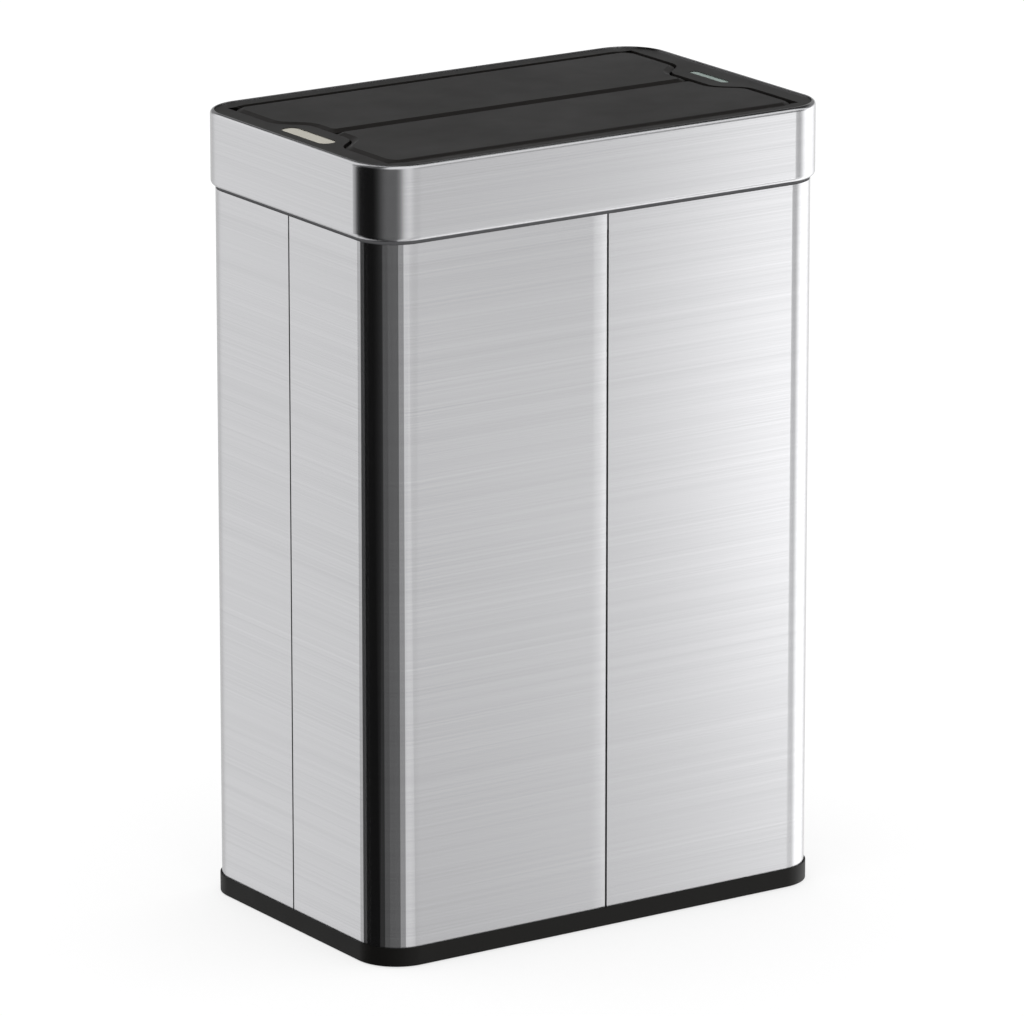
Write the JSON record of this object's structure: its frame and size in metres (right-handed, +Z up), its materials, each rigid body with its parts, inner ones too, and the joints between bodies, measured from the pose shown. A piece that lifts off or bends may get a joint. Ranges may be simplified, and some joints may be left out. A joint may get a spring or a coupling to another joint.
{
  "type": "recycling bin station",
  "caption": "Freestanding two-bucket waste and recycling bin with a steel shell and a lift-off head whose two long doors open upwards by motor.",
  "frame": {"origin": "on the floor, under the middle of the bin", "axes": "+Z up, +X along the width to the right, +Y to the back"},
  "size_m": [0.455, 0.289, 0.686],
  "materials": {
    "brushed_shell": "horizontal brushed satin",
    "charcoal_deck": "fine moulded satin",
    "black_moulding": "fine matte",
    "seam_backing": "black powder coat",
    "foot_rubber": "matte",
    "waste_bucket": "moulded satin",
    "recycling_bucket": "moulded satin",
    "plated_steel": "zinc plated",
    "sensor_window": "translucent, glossy",
    "status_window": "translucent, glossy",
    "circuit_board": "solder mask",
    "electronics": "moulded packages",
    "ir_lens": "clear tinted",
    "led_lens": "milky",
    "motor_can": "drawn and plated",
    "gear_acetal": "natural acetal",
    "battery_wrap": "printed wrap with no marks",
    "switch_knob": "glossy"
  },
  "bodies": {
    "station": {"panel_front_left": "brushed_shell", "panel_front_right": "brushed_shell", "panel_back_left": "brushed_shell", "panel_back_right": "brushed_shell", "seam_strip_front": "seam_backing", "seam_strip_back": "seam_backing", "seam_strip_left": "seam_backing", "seam_strip_right": "seam_backing", "foot_front_left": "foot_rubber", "foot_front_right": "foot_rubber", "foot_back_left": "foot_rubber", "foot_back_right": "foot_rubber", "top_ring": "black_moulding", "base_tray": "black_moulding"},
    "head": {"collar": "brushed_shell", "deck_frame": "charcoal_deck", "drive_tray": "black_moulding", "head_screws": "plated_steel", "sensor_lens": "sensor_window", "status_lens": "status_window", "sensor_board": "circuit_board", "status_board": "circuit_board", "board_screws": "plated_steel", "ir_pair": "ir_lens", "status_leds": "led_lens", "control_board": "circuit_board", "control_chips": "electronics", "gear_motor_front": "black_moulding", "gear_motor_back": "black_moulding", "motor_can_front": "motor_can", "motor_can_back": "motor_can", "door_bumpers": "foot_rubber", "battery_box": "black_moulding", "batteries": "battery_wrap", "switch_bezel": "black_moulding"},
    "front_door": {"front_door": "charcoal_deck", "front_door_liner": "black_moulding", "front_hinge_pin_left": "plated_steel", "front_hinge_pin_right": "plated_steel", "front_door_gear": "gear_acetal"},
    "back_door": {"back_door": "charcoal_deck", "back_door_liner": "black_moulding", "back_hinge_pin_left": "plated_steel", "back_hinge_pin_right": "plated_steel", "back_door_gear": "gear_acetal"},
    "front_pinion": {"pinion_front": "gear_acetal"},
    "back_pinion": {"pinion_back": "gear_acetal"},
    "left_bucket": {"bucket_left": "waste_bucket"},
    "right_bucket": {"bucket_right": "recycling_bucket"},
    "left_bail": {"bail_left": "plated_steel", "bail_grip_left": "black_moulding"},
    "right_bail": {"bail_right": "plated_steel", "bail_grip_right": "black_moulding"},
    "battery_cover": {"battery_cover": "black_moulding"},
    "power_switch": {"power_switch": "switch_knob"}
  },
  "joints": [
    {"name": "head_lift", "type": "slide", "parent": "station", "child": "head", "axis": [0, 0, 1], "range_m": [0, 0.3]},
    {"name": "front_door_hinge", "type": "hinge", "parent": "head", "child": "front_door", "pos_m": [0, -0.1171, 0.677], "axis": [1, 0, 0], "range_deg": [0, 74]},
    {"name": "back_door_hinge", "type": "hinge", "parent": "head", "child": "back_door", "pos_m": [0, 0.1171, 0.677], "axis": [-1, 0, 0], "range_deg": [0, 74]},
    {"name": "front_pinion_spin", "type": "hinge", "parent": "head", "child": "front_pinion", "pos_m": [-0.21, -0.1171, 0.657], "axis": [1, 0, 0], "range_deg": [-113, 0.5]},
    {"name": "back_pinion_spin", "type": "hinge", "parent": "head", "child": "back_pinion", "pos_m": [0.21, 0.1171, 0.657], "axis": [-1, 0, 0], "range_deg": [-113, 0.5]},
    {"name": "left_bucket_lift", "type": "slide", "parent": "station", "child": "left_bucket", "axis": [0, 0, 1], "range_m": [0, 0.15]},
    {"name": "right_bucket_lift", "type": "slide", "parent": "station", "child": "right_bucket", "axis": [0, 0, 1], "range_m": [0, 0.15]},
    {"name": "left_bail_swing", "type": "hinge", "parent": "left_bucket", "child": "left_bail", "pos_m": [-0.10885, 0, 0.5215], "axis": [0, 1, 0], "range_deg": [0, 180]},
    {"name": "right_bail_swing", "type": "hinge", "parent": "right_bucket", "child": "right_bail", "pos_m": [0.10885, 0, 0.5215], "axis": [0, -1, 0], "range_deg": [0, 180]},
    {"name": "battery_cover_drop", "type": "slide", "parent": "head", "child": "battery_cover", "axis": [0, 0, -1], "range_m": [0, 0.025]},
    {"name": "power_switch_slide", "type": "slide", "parent": "head", "child": "power_switch", "axis": [1, 0, 0], "range_m": [0, 0.005]}
  ],
  "couplings": [
    {"joint": "front_pinion_spin", "follows": "front_door_hinge", "ratio": -1.5},
    {"joint": "back_pinion_spin", "follows": "back_door_hinge", "ratio": -1.5},
    {"joint": "left_bucket_lift", "follows": "head_lift", "ratio": 0.5},
    {"joint": "right_bucket_lift", "follows": "head_lift", "ratio": 0.5}
  ]
}
